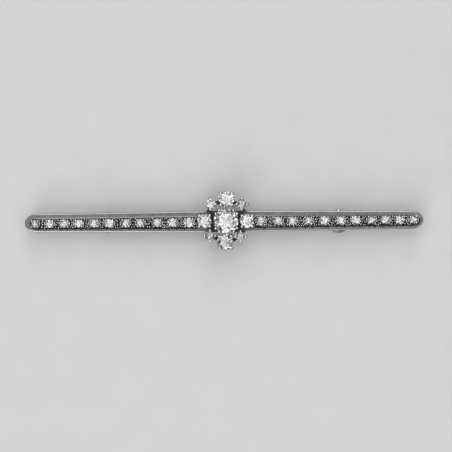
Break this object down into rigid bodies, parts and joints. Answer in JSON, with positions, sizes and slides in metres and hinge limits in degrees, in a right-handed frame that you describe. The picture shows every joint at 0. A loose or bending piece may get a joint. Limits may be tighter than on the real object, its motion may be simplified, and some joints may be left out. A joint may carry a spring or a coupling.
{
  "type": "diamond bar brooch",
  "caption": "Straight bar brooch with a sunk row of bead-set stones on each half and a flower of claw-set stones in the middle.",
  "frame": {"origin": "centre of the brooch's box, on the surface that its back rests on", "axes": "+X along the bar towards the catch, +Y across the bar towards the flower's top stone, +Z out of the front, towards the viewer"},
  "size_m": [0.078, 0.0114, 0.0071],
  "materials": {
    "setting_silver": "old silver, polished borders worn to a soft grey, darkened in the channels",
    "pin_silver": "drawn silver wire and sheet, dull",
    "diamond": "polished facets, colourless"
  },
  "bodies": {
    "root": {"setting": "setting_silver", "pin_and_catch": "pin_silver", "middle_stone": "diamond", "top_stone": "diamond", "bottom_stone": "diamond", "left_stone": "diamond", "right_stone": "diamond", "top_left_stone": "diamond", "top_right_stone": "diamond", "bottom_left_stone": "diamond", "bottom_right_stone": "diamond", "left_row_stone_1": "diamond", "left_row_stone_2": "diamond", "left_row_stone_3": "diamond", "left_row_stone_4": "diamond", "left_row_stone_5": "diamond", "left_row_stone_6": "diamond", "left_row_stone_7": "diamond", "left_row_stone_8": "diamond", "left_row_stone_9": "diamond", "left_row_stone_10": "diamond", "left_row_stone_11": "diamond", "right_row_stone_1": "diamond", "right_row_stone_2": "diamond", "right_row_stone_3": "diamond", "right_row_stone_4": "diamond", "right_row_stone_5": "diamond", "right_row_stone_6": "diamond", "right_row_stone_7": "diamond", "right_row_stone_8": "diamond", "right_row_stone_9": "diamond", "right_row_stone_10": "diamond", "right_row_stone_11": "diamond"}
  },
  "joints": []
}
